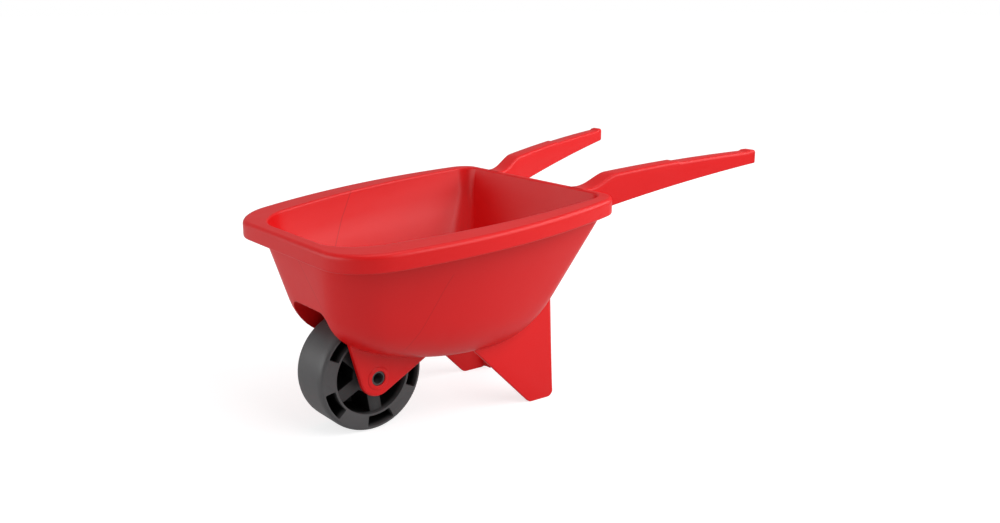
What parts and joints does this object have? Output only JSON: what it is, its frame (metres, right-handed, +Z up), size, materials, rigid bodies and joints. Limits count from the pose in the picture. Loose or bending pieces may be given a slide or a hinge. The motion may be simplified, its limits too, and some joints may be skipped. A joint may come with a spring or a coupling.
{
  "type": "toy wheelbarrow",
  "caption": "Child's plastic wheelbarrow: deep tub with a wide skirted rim, splayed handles, wedge legs and a broad moulded wheel turning between fork ears.",
  "frame": {"origin": "on the floor, at the middle of the overall box", "axes": "+X forwards to the wheel, +Y to the left side, +Z up; the wheel's axle lies along Y"},
  "size_m": [0.575, 0.3376, 0.288],
  "materials": {
    "red_plastic": "satin gloss, injection moulded",
    "black_plastic": "satin, injection moulded"
  },
  "bodies": {
    "barrow": {"tub": "red_plastic", "rim": "red_plastic", "wheel_arch": "red_plastic", "left_ear": "red_plastic", "right_ear": "red_plastic", "left_leg": "red_plastic", "right_leg": "red_plastic", "left_handle": "red_plastic", "right_handle": "red_plastic"},
    "wheel": {"wheel": "black_plastic", "axle": "black_plastic"}
  },
  "joints": [
    {"name": "wheel_spin", "type": "hinge", "parent": "barrow", "child": "wheel", "pos_m": [0.2005, 0, 0.065], "axis": [0, 1, 0], "continuous": true}
  ]
}
